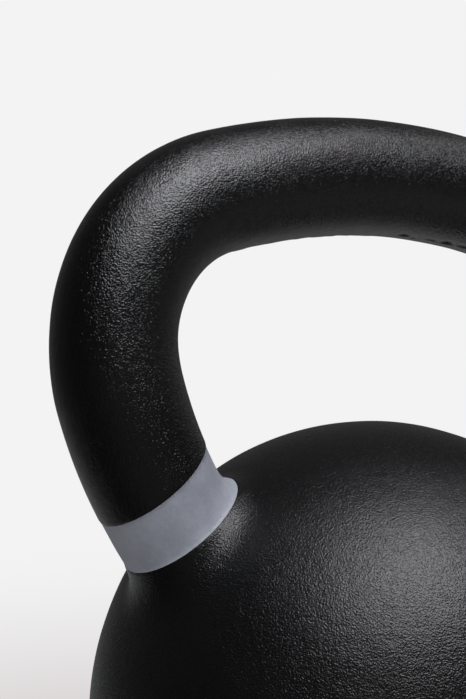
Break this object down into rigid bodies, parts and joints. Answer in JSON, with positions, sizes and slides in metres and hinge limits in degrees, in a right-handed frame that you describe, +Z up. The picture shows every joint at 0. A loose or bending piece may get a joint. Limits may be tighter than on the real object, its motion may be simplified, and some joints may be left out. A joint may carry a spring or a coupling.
{
  "type": "kettlebell",
  "caption": "Cast-iron kettlebell: a round bell with a flat base, a thick looped handle, and a painted colour band at each handle root.",
  "frame": {"origin": "middle of the flat base, on the floor", "axes": "+Z up through the bell and the middle of the grip; +X along the grip; +Y from the front of the window to the back"},
  "size_m": [0.2026, 0.168, 0.2409],
  "materials": {
    "cast_iron": "as cast, bare, under the coat",
    "black_powder_coat": "satin powder coat, finely wrinkled",
    "grey_band_paint": "matt paint over the casting's grain"
  },
  "bodies": {
    "root": {"iron_casting": "cast_iron", "bell_coat": "black_powder_coat", "handle_coat": "black_powder_coat", "left_colour_band": "grey_band_paint", "right_colour_band": "grey_band_paint"}
  },
  "joints": []
}
